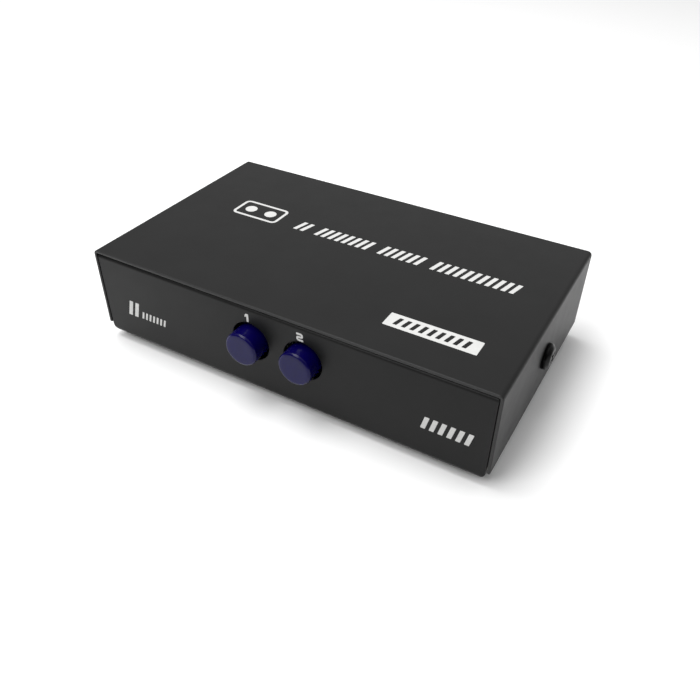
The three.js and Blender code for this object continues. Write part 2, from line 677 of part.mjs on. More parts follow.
/** Coil spring about Y, from y = 0 to the given length. */
function coilSpring(name, { radius, wire, turns }, length) {
  const section = new THREE.Shape(new THREE.EllipseCurve(0, 0, wire, wire).getPoints(6).slice(0, 6));
  const path = new Coil(radius, length - 2 * wire, turns);
  const geometry = new THREE.ExtrudeGeometry(section, { steps: turns * 10, extrudePath: path });
  geometry.translate(0, wire, 0);
  return piece(name, solid(geometry), SPRING_STEEL);
}

function returnSpring(name) {
  const gap = 0.1;
  const length = HOUSING.rear - HOUSING.wall - SLIDER_REAR - 2 * gap;
  const spring = coilSpring(name, RETURN_SPRING, length);
  spring.position.set(0, SLIDER_REAR + gap, BUTTON_Z);
  return spring;
}

function station(letter, { x, reach }) {
  const group = new THREE.Group();
  group.position.x = x;
  group.add(buttonCap(`button_cap_${letter}`, reach));
  group.add(plunger(`plunger_${letter}`));
  group.add(contactBridge(`contact_bridge_${letter}_left`, -1));
  group.add(contactBridge(`contact_bridge_${letter}_right`, 1));
  group.add(switchHousing(`switch_housing_${letter}`));
  group.add(terminalBoard(`terminal_board_${letter}`));
  group.add(returnSpring(`return_spring_${letter}`));
  return group;
}

function bracketTabXs() {
  const offset = BRACKET_HALF_LENGTH - 2;
  return [BRACKET_CENTRE - offset, BRACKET_CENTRE + offset];
}

/** Stamped frame in front of both stations: front plate, end flanges, top flange with hooks, board tabs. */
function switchBracket() {
  const xs = about(BRACKET_CENTRE, 2 * BRACKET_HALF_LENGTH);
  const plate = [BRACKET_FRONT, BRACKET_FRONT + SHEET];
  const zs = [PART_BOTTOM, BRACKET_TOP];
  const flangeYs = [BRACKET_FRONT, BRACKET_FRONT + BRACKET_END_FLANGE];
  let bracket = block(xs, plate, zs);
  bracket = bracket.add(block([xs[0], xs[0] + SHEET], flangeYs, zs));
  bracket = bracket.add(block([xs[1] - SHEET, xs[1]], flangeYs, zs));
  bracket = bracket.add(block([STATIONS.a.x - 5, STATIONS.b.x + 5], [BRACKET_FRONT, BRACKET_TOP_REAR],
    [BRACKET_TOP - SHEET, BRACKET_TOP]));
  for (const { x } of Object.values(STATIONS)) {
    const hookZs = [HOUSING.top - 0.6, BRACKET_TOP];
    bracket = bracket.add(block(about(x, 6), [BRACKET_TOP_REAR - SHEET, BRACKET_TOP_REAR], hookZs));
    bracket = bracket.subtract(neckWindow(x, plate, 0));
  }
  for (const x of bracketTabXs()) {
    bracket = bracket.add(block(about(x, TAB.width), plate, [LEG_BOTTOM, PART_BOTTOM + 1]));
  }
  const tongueSlotYs = about(LATCH_Y, LATCH_THICKNESS + 0.4);
  bracket = bracket.subtract(block([xs[0] - 1, xs[0] + 2], tongueSlotYs, about(BUTTON_Z, 2.8)));
  bracket = bracket.subtract(rodX(0.55, [xs[1] - 2, xs[1] + 1], LATCH_Y, BUTTON_Z, 12));
  return piece('switch_bracket', bracket, ZINC_STEEL);
}

/** Sliding plate with a window round each neck. Its end tongues run in the bracket's end flanges. */
function latchPlate() {
  const ys = about(LATCH_Y, LATCH_THICKNESS);
  const tongue = BRACKET_HALF_LENGTH + 0.8;
  let plate = block(LATCH_ENDS, ys, about(BUTTON_Z, LATCH_HEIGHT));
  plate = plate.add(block([BRACKET_CENTRE - tongue, LATCH_ENDS[0] + 1], ys, about(BUTTON_Z, 2.2)));
  plate = plate.add(block([LATCH_ENDS[1] - 1, BRACKET_CENTRE + tongue], ys, about(BUTTON_Z, 0.5)));
  for (const { x } of Object.values(STATIONS)) {
    plate = plate.subtract(neckWindow(x, ys, LATCH_STROKE));
  }
  return piece('latch_plate', plate, ZINC_STEEL);
}

/** Spring on the latch plate's thin tongue, between the plate's shoulder and the right end flange. */
function latchSpring() {
  const gap = 0.1;
  const from = LATCH_ENDS[1] + gap;
  const to = BRACKET_CENTRE + BRACKET_HALF_LENGTH - SHEET - gap;
  const spring = coilSpring('latch_spring', LATCH_SPRING, to - from);
  spring.rotation.z = -Math.PI / 2;
  spring.position.set(from, LATCH_Y, BUTTON_Z);
  return spring;
}

const box = new THREE.Group();
const foremost = -DEPTH / 2 - STATIONS.a.reach;
box.position.set(0, -(foremost + PORT_FRONT) / 2, FOOT_HEIGHT);
box.add(topCover(), baseTray(), coverScrews(), feet());
box.add(circuitBoard(), boardFixings(), ports());
for (const [letter, place] of Object.entries(STATIONS)) {
  box.add(station(letter, place));
}
box.add(switchBracket(), latchPlate(), latchSpring());

const group = new THREE.Group();
group.add(box);

export default group;
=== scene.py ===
import json
import math

import bmesh
import bpy
from mathutils import Matrix, Vector
from mathutils.geometry import delaunay_2d_cdt

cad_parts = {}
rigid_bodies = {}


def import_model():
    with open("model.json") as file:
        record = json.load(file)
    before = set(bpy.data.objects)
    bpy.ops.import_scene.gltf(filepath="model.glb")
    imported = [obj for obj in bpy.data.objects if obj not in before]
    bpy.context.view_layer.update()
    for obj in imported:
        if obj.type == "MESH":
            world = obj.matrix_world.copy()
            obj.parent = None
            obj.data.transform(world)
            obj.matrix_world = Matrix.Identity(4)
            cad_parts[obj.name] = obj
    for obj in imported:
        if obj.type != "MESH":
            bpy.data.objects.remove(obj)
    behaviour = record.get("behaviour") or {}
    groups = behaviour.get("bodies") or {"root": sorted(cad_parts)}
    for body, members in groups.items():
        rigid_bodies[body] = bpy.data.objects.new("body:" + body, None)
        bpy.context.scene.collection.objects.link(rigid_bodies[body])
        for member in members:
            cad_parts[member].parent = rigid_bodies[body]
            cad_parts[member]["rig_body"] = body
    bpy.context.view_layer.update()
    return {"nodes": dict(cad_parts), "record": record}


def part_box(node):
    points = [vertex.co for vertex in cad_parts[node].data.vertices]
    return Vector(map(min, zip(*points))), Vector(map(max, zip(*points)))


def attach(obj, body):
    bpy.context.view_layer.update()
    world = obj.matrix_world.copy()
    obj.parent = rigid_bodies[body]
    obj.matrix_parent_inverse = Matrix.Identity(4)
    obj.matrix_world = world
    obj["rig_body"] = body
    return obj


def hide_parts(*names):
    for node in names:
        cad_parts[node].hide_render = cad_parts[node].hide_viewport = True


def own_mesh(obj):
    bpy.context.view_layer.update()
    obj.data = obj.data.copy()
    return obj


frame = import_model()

# Looks for the two-way push-button switch box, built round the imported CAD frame.
#
# Sizes are millimetres in the CAD frame, and every mesh is stored in metres. Folded steel parts are
# laid out flat, with their holes, and folded up. Turned parts are lathed from a profile. The other
# parts are their CAD shapes with broken edges.

MM = 0.001

# Folded steel. Bend radii are those of the outside, and heights are above the tray's underside.
SHEET = 0.8
COVER_BEND = 1.2
TRAY_FLOOR_BEND = 1.6
TRAY_TOP_BEND = 1.0
TRAY_CLEARANCE = 0.15  # to the inside of the cover's sides
TRAY_CORNER_CUT = 2.8  # how far the lower corners are cut off along the flat sheet
TRAY_CORNER_RADIUS = 2.0
TOP_FLANGE = 5.0
SIDE_FLANGE_HEIGHT = 7.0
SIDE_FLANGE_HALF_LENGTH = 28.5
SIDE_FLANGE_CORNER = 1.0
BEND_RELIEF = 1.6  # width of the slot at each end of a side flange
RELIEF_CORNER = 0.6
EAR_HALF_WIDTH = 7.0
EAR_TOP = 18.5
EAR_CORNER = 3.0
SCREW_HOLE_RADIUS = 1.6
BUTTON_HOLE_RADIUS = 5.2
PORT_LIFT = 0.1  # from the board to the ports' shells
PORT_GAP = 0.3  # round the ports in the rear panel
PORT_CORNER = 0.6

# How far the coat rounds a sheet's edges and outline corners, and how finely arcs are drawn.
SHEET_EDGE = 0.26
SHEET_CORNER = 0.4
BEND_STEPS = 8
CORNER_STEPS = 8
EDGE_STEPS = 4
BUTTON_HOLE_STEPS = 128

# Shading is sharp where faces meet at more than this angle.
SHARP = math.radians(50)

# Screws
SCREW_RADIUS = 1.45
SCREW_POINT = 0.35  # bevel of the point
SEAT_GAP = 0.02
THREAD_PITCH = 0.5
THREAD_DEPTH = 0.24
THREAD_FADE = 0.3
THREAD_RINGS = 6  # rings of the mesh in one pitch
CROSS_ARM = 1.65
CROSS_HALF_WIDTH = 0.42
CROSS_DEPTH = 0.62  # of the head's height
COVER_SCREW_TURN = math.radians(28)
BOARD_SCREW_TURN = 0.6  # radians from one board screw to the next

# Button caps and springs
CAP_WALL = 0.9
CAP_HOLLOW_FLOOR = 2.4  # from the face to the ring-shaped hollow
CAP_SOCKET_FLOOR = 1.6  # from the face to the stem's socket
CAP_SOCKET = 3.3
CAP_BOSS_RADIUS = 2.9
CAP_DISH = 0.06
SPRING_TURNS = 6
RETURN_WIRE_RADIUS = 0.25
LATCH_WIRE_RADIUS = 0.12

# Edge bevels of the parts that keep their CAD shapes, by a piece of the node's name.
EDGE_BREAKS = {
    "circuit_board": 0.06, "board_standoff": 0.12, "switch_bracket": 0.1, "switch_housing": 0.15,
    "terminal_board": 0.05, "plunger": 0.12, "latch_plate": 0.08, "contact_": 0.03,
    "_insulator": 0.08, "device_port_shell": 0.08, "_shell": 0.1,
}

# Print. Places are (across, up) from the middle of the cover, or from the tray's middle and underside,
# and boxes are (left, right, low, high).
INK_THICKNESS = 0.03
INK_EDGE = 0.008
BAR_WIDTH = 1.15
BAR_PITCH = 2.06
TITLE_START = (-18.0, 3.1)
TITLE_GROUPS = (2, 8, 6, 11)
TITLE_HEIGHT = 4.5
TITLE_GAP = 2.4
PICTOGRAM = (-38.0, -23.6, 2.4, 10.6)
PICTOGRAM_LINE = 0.8
PICTOGRAM_BUTTON = 1.7
BLOCK = (22.9, 45.3, -23.2, -18.2)
BLOCK_CORNER = 0.25
BLOCK_MARGIN = (2, 1.1)
BLOCK_BARS = {"count": 9, "height": 2.8, "width": 1.0}
DIGIT_HEIGHT = 2.2
DIGIT_LEVEL = 20.0
FRONT_BARS = (
    {"u": -46.8, "v": 8.0, "count": 2, "height": 4.6, "width": 1.2, "pitch": 2.0},
    {"u": -42.2, "v": 8.2, "count": 7, "height": 2.2, "width": 0.62, "pitch": 1.2},
    {"u": 38.0, "v": 8.5, "count": 6, "height": 3.5},
)

# Light. The sky is brightest in one direction and dims with the angle away from it.
SKY_BRIGHT_SIDE = (0, 0.45, 0.89)
SKY_BRIGHT = 1.06
SKY_DIM = 0.12
FLOOR_COLOR = (0.88, 0.88, 0.88, 1)
FLOOR_REACH = 3.0  # metres

# Camera. Its place is measured from the middle of the cover and the underside of the tray.
CAMERA_PLACE = (78.93, -137.77, 117.21)
CAMERA_ANGLES = (51.90, -0.81, 29.80)
CAMERA_LENS = 36.54


def box_mm(node):
    """Lowest and highest corner of a CAD node at rest, in millimetres."""
    low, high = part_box(node)
    return low / MM, high / MM


def centre_mm(node):
    low, high = box_mm(node)
    return (low + high) / 2


# Materials


def add(tree, kind, settings=None, **inputs):
    """A shader node with attributes set, and inputs given as values or as sockets to link from."""
    node = tree.nodes.new("ShaderNode" + kind)
    for key, value in (settings or {}).items():
        setattr(node, key, value)
    for key, value in inputs.items():
        socket = node.inputs[key.replace("_", " ")]
        if isinstance(value, bpy.types.NodeSocket):
            tree.links.new(value, socket)
        else:
            socket.default_value = value
    return node


def noise(tree, coords, size, stretch=(1, 1, 1), detail=4.0):
    """Noise from 0 to 1 whose features are about size millimetres across."""
    scale = [value / (size * MM) for value in stretch]
    mapped = add(tree, "Mapping", Vector=coords, Scale=scale).outputs["Vector"]
    texture = add(tree, "TexNoise", Vector=mapped, Scale=1.0, Detail=detail, Roughness=0.55)
    return texture.outputs["Fac"]


def remap(tree, value, low, high, start=0.3, end=0.7):
    node = add(tree, "MapRange", Value=value, From_Min=start, From_Max=end, To_Min=low, To_Max=high)
    return node.outputs["Result"]


def mixed(tree, factor, a, b):
    """Blend of two colours, each a triple or a socket."""
    node = add(tree, "Mix", {"data_type": "RGBA"})
    tree.links.new(factor, node.inputs[0])
    for socket, value in ((node.inputs[6], a), (node.inputs[7], b)):
        if isinstance(value, bpy.types.NodeSocket):
            tree.links.new(value, socket)
        else:
            socket.default_value = (*value, 1.0)
    return node.outputs[2]


def scaled(color, factor):
    return tuple(min(1.0, channel * factor) for channel in color)


def surface(name, color, roughness, metallic=0.0, specular=0.5, shade=0.15, patch=7.0, spread=0.06,
            grain=0.22, depth=0.004, worn_and_glint_color=None, wear_and_glint=0.0, thin_coat_and_glint_color=None, stretch=(1, 1, 1), edge=0.12):
    """A finish with clouded colour and roughness, grain in its bump, and rounded edges.

    The sizes of its clouds (patch) and grain, the height of the grain (depth) and the rounding (edge)
    are millimetres. Sharp corners go, by a given share, to a given lighter colour: partly edge wear,
    partly a painted highlight where the edges catch the light. The rims of sheets go to a lighter
    colour of their own: partly a thinner coat there, partly a painted highlight along the cut edges.
    """
    material = bpy.data.materials.new(name)
    material.use_nodes = True
    tree = material.node_tree
    bsdf = tree.nodes["Principled BSDF"]
    coords = add(tree, "TexCoord").outputs["Object"]

    cloud = remap(tree, noise(tree, coords, patch, stretch), 0.0, 1.0)
    tint = mixed(tree, cloud, scaled(color, 1 - shade), scaled(color, 1 + shade))
    rounded = add(tree, "Bevel", {"samples": 4}, Radius=edge * MM).outputs["Normal"]
    # Edge wear and painted highlight: sharp corners, found from the rounded normal, are mixed in patches
    # towards a lighter colour.
    if wear_and_glint:
        flat = add(tree, "NewGeometry").outputs["Normal"]
        facing = add(tree, "VectorMath", {"operation": "DOT_PRODUCT"})
        tree.links.new(rounded, facing.inputs[0])
        tree.links.new(flat, facing.inputs[1])
        corner = remap(tree, facing.outputs["Value"], wear_and_glint, 0.0, 0.8, 0.995)
        wear_and_glint_mask = add(tree, "Math", {"operation": "MULTIPLY"})
        tree.links.new(corner, wear_and_glint_mask.inputs[0])
        tree.links.new(remap(tree, noise(tree, coords, 1.2), 0.35, 1.0), wear_and_glint_mask.inputs[1])
        tint = mixed(tree, wear_and_glint_mask.outputs[0], tint, worn_and_glint_color)
    # Thin coat and painted highlight: the rims of sheets are mixed towards a lighter colour.
    if thin_coat_and_glint_color:
        rim = add(tree, "Attribute", {"attribute_name": "rim"}).outputs["Fac"]
        tint = mixed(tree, rim, tint, thin_coat_and_glint_color)
    tree.links.new(tint, bsdf.inputs["Base Color"])

    breakup = noise(tree, coords, patch * 0.4, stretch)
    rough = remap(tree, breakup, roughness - spread, roughness + spread)
    tree.links.new(rough, bsdf.inputs["Roughness"])
    bsdf.inputs["Metallic"].default_value = metallic
    bsdf.inputs["Specular IOR Level"].default_value = specular

    height = noise(tree, coords, grain, stretch, detail=2.0)
    bump = add(tree, "Bump", Height=height, Distance=depth * MM, Normal=rounded)
    tree.links.new(bump.outputs["Normal"], bsdf.inputs["Normal"])
    return material


LOOKS = {
    # The coat's lighter corners and rims are partly wear and a thin coat, partly painted highlights on
    # its edges.
    "powder_coat": surface("powder_coat", (0.0055, 0.0055, 0.0055), 0.42, specular=0.19, patch=14,
                           spread=0.02, grain=0.3, depth=0.005, wear_and_glint=0.3, worn_and_glint_color=(0.02, 0.02, 0.02),
                           thin_coat_and_glint_color=(0.03, 0.03, 0.03)),
    "print_white": surface("print_white", (0.56, 0.56, 0.55), 0.5, specular=0.3, shade=0.04,
                           patch=1.5, grain=0.3, depth=0.004),
    # The screw's lighter corners are partly wear, partly a painted highlight.
    "black_screw": surface("black_screw", (0.0025, 0.0025, 0.0025), 0.3, specular=0.13, grain=0.1,
                           depth=0.002, wear_and_glint=0.3, worn_and_glint_color=(0.03, 0.03, 0.03), patch=1.2),
    "foot_rubber": surface("foot_rubber", (0.012, 0.012, 0.012), 0.82, specular=0.3, grain=0.15,
                           depth=0.012, patch=2),
    # Dark green laminate, darkened further as painted shade so that the board reads dark through the
    # button holes.
    "board_laminate": surface("board_laminate", (0.004, 0.038, 0.014), 0.33, grain=0.6, depth=0.006,
                              patch=5, wear_and_glint=0.4, worn_and_glint_color=(0.25, 0.24, 0.13)),
    "zinc_steel": surface("zinc_steel", (0.42, 0.43, 0.46), 0.34, metallic=1.0, shade=0.1, patch=2.5,
                          spread=0.08, grain=0.12, depth=0.002, stretch=(1, 1, 3)),
    "nickel_plate": surface("nickel_plate", (0.46, 0.45, 0.43), 0.3, metallic=1.0, shade=0.05,
                            patch=3, spread=0.05, grain=0.1, depth=0.001, stretch=(3, 0.3, 3)),
    "black_plastic": surface("black_plastic", (0.009, 0.009, 0.01), 0.42, grain=0.12, depth=0.004,
                             patch=2.5, edge=0.06),
    "white_plastic": surface("white_plastic", (0.7, 0.68, 0.62), 0.42, shade=0.04, grain=0.12,
                             depth=0.003, patch=2, edge=0.06),
    "indigo_plastic": surface("indigo_plastic", (0.0014, 0.0003, 0.048), 0.2, specular=0.2, grain=0.5,
                              depth=0.0008, patch=3, spread=0.03, shade=0.1, edge=0.05),
    "bronze": surface("bronze", (0.55, 0.32, 0.13), 0.3, metallic=1.0, shade=0.1, patch=1.5,
                      grain=0.08, depth=0.001, edge=0.04),
    "gold_contact": surface("gold_contact", (0.78, 0.55, 0.2), 0.24, metallic=1.0, shade=0.08,
                            patch=1.2, grain=0.08, depth=0.001, stretch=(3, 0.4, 3), edge=0.04),
    "spring_steel": surface("spring_steel", (0.36, 0.37, 0.39), 0.28, metallic=1.0, shade=0.12,
                            patch=1, grain=0.06, depth=0.001, edge=0.03),
}

# Meshes


def piece(name, bm, slot, body, *nodes):
    """Makes a piece from a closed bmesh in millimetres, standing for the CAD nodes given."""
    bmesh.ops.recalc_face_normals(bm, faces=bm.faces)
    bmesh.ops.scale(bm, vec=(MM, MM, MM), verts=bm.verts)
    mesh = bpy.data.meshes.new(name)
    bm.to_mesh(mesh)
    bm.free()
    mesh.materials.append(LOOKS[slot])
    mesh.shade_smooth()
    obj = bpy.data.objects.new(name, mesh)
    bpy.context.scene.collection.objects.link(obj)
    if "shade" in mesh.attributes:
        shade = [item.vector.normalized() for item in mesh.attributes["shade"].data]
        mesh.normals_split_custom_set_from_vertices(shade)
    else:
        mesh.set_sharp_from_angle(angle=SHARP)
        obj.modifiers.new("Weighted normals", "WEIGHTED_NORMAL").keep_sharp = True
    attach(obj, body)
    if nodes:
        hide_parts(*nodes)
    return obj


def left_of(heading):
    return Vector((-heading.y, heading.x))


def turned(vector, angle):
    return Matrix.Rotation(angle, 2) @ vector


def corner_arc(before, here, after, radius, steps):
    """Points and right-hand normals round one corner of a line. A sharp corner gives its mitre."""
    heading = (here - before).normalized()
    onward = (after - here).normalized()
    turn = math.atan2(heading.cross(onward), heading.dot(onward))
    if radius <= 0 or abs(turn) < 1e-6:
        normals = -left_of(heading), -left_of(onward)
        return [(here, (normals[0] + normals[1]) / (1 + normals[0].dot(normals[1])))]
    side = math.copysign(1, turn)
    start = here - heading * radius * math.tan(abs(turn) / 2)
    centre = start + left_of(heading) * radius * side
    normals = [turned(-left_of(heading), turn * k / steps) for k in range(steps + 1)]
    return [(centre + normal * radius * side, normal) for normal in normals]


def rounded_loop(corners, radius=0.0, steps=5):
    """Closed outline with material on its left. A corner is (u, v) or (u, v, a radius of its own)."""
    loop = []
    for i, corner in enumerate(corners):
        before, here, after = (Vector(corners[j % len(corners)][:2]) for j in (i - 1, i, i + 1))
        own = corner[2] if len(corner) > 2 else radius
        loop += corner_arc(before, here, after, own, steps)
    return loop


def rectangle(low_u, high_u, low_v, high_v):
    return [(low_u, low_v), (high_u, low_v), (high_u, high_v), (low_u, high_v)]


def round_hole(u, v, radius, steps=64):
    """Clockwise circle, so that material is outside it."""
    angles = [-2 * math.pi * k / steps for k in range(steps)]
    rays = [Vector((math.cos(angle), math.sin(angle))) for angle in angles]
    return [(Vector((u, v)) + ray * radius, -ray) for ray in rays]


class Fold:
    """Middle line of folded sheet: straight runs joined by arcs, measured along its own length."""

    def __init__(self, corners, radii):
        self.runs = []
        self.length = 0.0
        points = [Vector(corner) for corner in corners]
        start = points[0]
        for i in range(1, len(points)):
            heading = (points[i] - points[i - 1]).normalized()
            turn = radius = 0.0
            if i < len(points) - 1:
                onward = (points[i + 1] - points[i]).normalized()
                turn = math.atan2(heading.cross(onward), heading.dot(onward))
                radius = radii[i - 1]
            setback = radius * math.tan(abs(turn) / 2)
            end = points[i] - heading * setback
            self._add_run((end - start).length, start, heading, 0.0, 0.0)
            if turn:
                self._add_run(radius * abs(turn), end, heading, turn, radius)
                start = points[i] + onward * setback

    def _add_run(self, length, start, heading, turn, radius):
        self.runs.append((self.length, length, start, heading, turn, radius))
        self.length += length

    def at(self, u):
        """The point at length u, and the normal on its left."""
        run = next((r for r in self.runs if u <= r[0] + r[1] + 1e-9), self.runs[-1])
        begin, length, start, heading, turn, radius = run
        if not turn:
            return start + heading * (u - begin), left_of(heading)
        side = math.copysign(1, turn)
        centre = start + left_of(heading) * radius * side
        now = turned(heading, turn * (u - begin) / length)
        return centre - left_of(now) * radius * side, left_of(now)

    def locate(self, straight, axis, value):
        """Length at which a straight run, counted from 0, reaches a value of x (axis 0) or y (1)."""
        begin, _, start, heading, _, _ = self.runs[2 * straight]
        return begin + (value - start[axis]) / heading[axis]

    def bends(self, steps=BEND_STEPS):
        """Lengths of the fold lines that make each arc smooth."""
        arcs = [(run[0], run[1]) for run in self.runs if run[4]]
        return [begin + length * k / steps for begin, length in arcs for k in range(steps + 1)]


class FoldLine:
    """Line across a flat sheet at one value of an axis, between two values of the other axis."""

    def __init__(self, axis, value, low=-1e9, high=1e9):
        self.axis, self.value, self.low, self.high = axis, value, low, high

    def holds(self, point):
        return abs(point[self.axis] - self.value) < 1e-4 and self.low <= point[1 - self.axis] <= self.high


def split_loop(loop, folds, inset):
    """Adds the points whose place on the inset outline is where that outline crosses a fold line."""
    result = []
    for i, (point, normal) in enumerate(loop):
        result.append((point, normal))
        end, end_normal = loop[(i + 1) % len(loop)]
        here, there = point - normal * inset, end - end_normal * inset
        shares = []
        for fold in folds:
            before, after = here[fold.axis] - fold.value, there[fold.axis] - fold.value
            if before * after < 0 and min(abs(before), abs(after)) > 1e-4:
                share = before / (before - after)
                if fold.low <= here.lerp(there, share)[1 - fold.axis] <= fold.high:
                    shares.append(share)
        result += [(point.lerp(end, share), normal.lerp(end_normal, share)) for share in sorted(shares)]
    return result


def inside(point, outlines):
    """Even-odd test of a point against all outlines together."""
    odd = False
    for outline in outlines:
        for a, b in zip(outline, outline[1:] + outline[:1]):
            if (a[1] > point[1]) != (b[1] > point[1]):
                odd ^= point[0] < a[0] + (b[0] - a[0]) * (point[1] - a[1]) / (b[1] - a[1])
    return odd


def fold_segments(flat, outlines, folds):
    """Constraint edges along each fold line, between neighbouring boundary points that lie on it."""
    segments = []
    for fold in folds:
        across = 1 - fold.axis
        spots = [(point[across], i) for i, point in enumerate(flat) if fold.holds(point)]
        ordered = [i for _, i in sorted(spots)]
        for i, j in zip(ordered, ordered[1:]):
            if inside((flat[i] + flat[j]) / 2, outlines):
                segments.append((i, j))
    return segments


def edge_section(thickness, edge):
    """(inset, height, outward, upward) down a sheet's rounded edge; the last two are its normal."""
    angles = [math.pi / 2 * k / EDGE_STEPS for k in range(EDGE_STEPS + 1)]
    half = thickness / 2
    upper = [
        (edge * (1 - math.sin(a)), half - edge * (1 - math.cos(a)), math.sin(a), math.cos(a))
        for a in angles
    ]
    return upper + [(inset, -height, out, -up) for inset, height, out, up in reversed(upper)]


def sheet(bm, loops, place, thickness, edge=SHEET_EDGE, folds=()):
    """Adds a closed sheet: outlines and holes in flat coordinates, with rounded edges, folded by place.

    place(u, v, w) gives the point at height w over the middle of the sheet. Each vertex keeps its
    exact normal, and a rim value that is 1 on the edge of the sheet and 0 on its faces.
    """
    shade = bm.verts.layers.float_vector.get("shade") or bm.verts.layers.float_vector.new("shade")
    rim = bm.verts.layers.float.get("rim") or bm.verts.layers.float.new("rim")
    section = edge_section(thickness, edge)
    step = 0.01
    flat, segments, outlines = [], [], []
    skins = [], []
    for loop in loops:
        loop = split_loop(loop, folds, edge)
        rings = []
        for inset, height, outward, upward in section:
            ring = []
            for point, normal in loop:
                spot = point - normal * inset
                lean = normal.normalized() * outward * step
                here = place(spot.x, spot.y, height)
                vert = bm.verts.new(here)
                vert[shade] = place(spot.x + lean.x, spot.y + lean.y, height + upward * step) - here
                vert[rim] = outward
                ring.append(vert)
            rings.append(ring)
        for upper, lower in zip(rings, rings[1:]):
            for i in range(len(loop)):
                j = (i + 1) % len(loop)
                bm.faces.new((upper[i], upper[j], lower[j], lower[i]))
        first = len(flat)
        outline = [point - normal * edge for point, normal in loop]
        segments += [(first + i, first + (i + 1) % len(loop)) for i in range(len(loop))]
        flat += outline
        outlines.append(outline)
        skins[0].extend(rings[0])
        skins[1].extend(rings[-1])
    segments += fold_segments(flat, outlines, folds)
    verts, _, faces, origins, _, _ = delaunay_2d_cdt(flat, segments, [], 1, 1e-7)
    for face in faces:
        if inside(sum((verts[i] for i in face), Vector((0, 0))) / len(face), outlines):
            for skin in skins:
                bm.faces.new([skin[origins[i][0]] for i in face])


def lathe(bm, profile, matrix=Matrix(), segments=96, relief=None):
    """Adds a solid of revolution about the matrix's Z axis, from (radius, height) points.

    relief(angle, height), if given, is added to the radius.
    """
    rings = []
    for radius, height in profile:
        count = 1 if radius < 1e-9 else segments
        ring = []
        for angle in (2 * math.pi * k / count for k in range(count)):
            reach = radius + (relief(angle, height) if relief else 0)
            spot = Vector((reach * math.cos(angle), reach * math.sin(angle), height))
            ring.append(bm.verts.new(matrix @ spot))
        rings.append(ring)
    for a, b in zip(rings, rings[1:]):
        for i in range(segments):
            corners = [a[i % len(a)], a[(i + 1) % len(a)], b[(i + 1) % len(b)], b[i % len(b)]]
            bm.faces.new(list(dict.fromkeys(corners)))


def rounded_profile(corners, steps=5):
    """Open line of (x, y) or (x, y, radius) corners, with each radius drawn as an arc."""
    line = [Vector(corners[0][:2])]
    for before, here, after in zip(corners, corners[1:], corners[2:]):
        radius = here[2] if len(here) > 2 else 0.0
        arc = corner_arc(Vector(before[:2]), Vector(here[:2]), Vector(after[:2]), radius, steps)
        line += [point for point, _ in arc]
    return line + [Vector(corners[-1][:2])]


def swept(bm, line, radius, sides=12):
    """Adds a round wire along a line of points, with flat ends."""
    rings = []
    across = (line[1] - line[0]).orthogonal().normalized()
    for i, point in enumerate(line):
        ahead = (line[min(i + 1, len(line) - 1)] - line[max(i - 1, 0)]).normalized()
        across = (across - ahead * across.dot(ahead)).normalized()
        other = ahead.cross(across)
        angles = [2 * math.pi * k / sides for k in range(sides)]
        spokes = [across * math.cos(a) + other * math.sin(a) for a in angles]
        rings.append([bm.verts.new(point + spoke * radius) for spoke in spokes])
    for a, b in zip(rings, rings[1:]):
        for i in range(sides):
            j = (i + 1) % sides
            bm.faces.new((a[i], a[j], b[j], b[i]))
    bm.faces.new(rings[0])
    bm.faces.new(rings[-1])


def cut(bm, cutter):
    """Subtracts one closed bmesh from another and returns the result."""
    objects = []
    for source in (bm, cutter):
        bmesh.ops.recalc_face_normals(source, faces=source.faces)
        mesh = bpy.data.meshes.new("cut")
        source.to_mesh(mesh)
        source.free()
        obj = bpy.data.objects.new("cut", mesh)
        bpy.context.scene.collection.objects.link(obj)
        objects.append(obj)
    modifier = objects[0].modifiers.new("Cut", "BOOLEAN")
    modifier.operation = "DIFFERENCE"
    modifier.solver = "EXACT"
    modifier.object = objects[1]
    bpy.context.view_layer.update()
    shape = objects[0].evaluated_get(bpy.context.evaluated_depsgraph_get())
    result = bmesh.new()
    result.from_mesh(bpy.data.meshes.new_from_object(shape))
    bmesh.ops.remove_doubles(result, verts=result.verts, dist=1e-4)
    for obj in objects:
        bpy.data.objects.remove(obj)
    return result


# Case


def top_cover():
    low, high = box_mm("top_cover")
    screw = centre_mm("cover_screw_right")
    side = high.x - SHEET / 2
    top = high.z - SHEET / 2
    corners = [(-side, low.z), (-side, top), (side, top), (side, low.z)]
    fold = Fold(corners, [COVER_BEND - SHEET / 2] * 2)

    def place(u, v, w):
        point, normal = fold.at(u)
        return Vector((point.x + normal.x * w, v, point.y + normal.y * w))

    outline = rounded_loop(rectangle(0, fold.length, low.y, high.y), SHEET_CORNER)
    hole = fold.locate(0, 1, screw.z)
    holes = [round_hole(u, screw.y, SCREW_HOLE_RADIUS) for u in (hole, fold.length - hole)]
    bm = bmesh.new()
    sheet(bm, [outline, *holes], place, SHEET, folds=[FoldLine(0, u) for u in fold.bends()])
    return piece("top_cover_folded", bm, "powder_coat", "case", "top_cover")


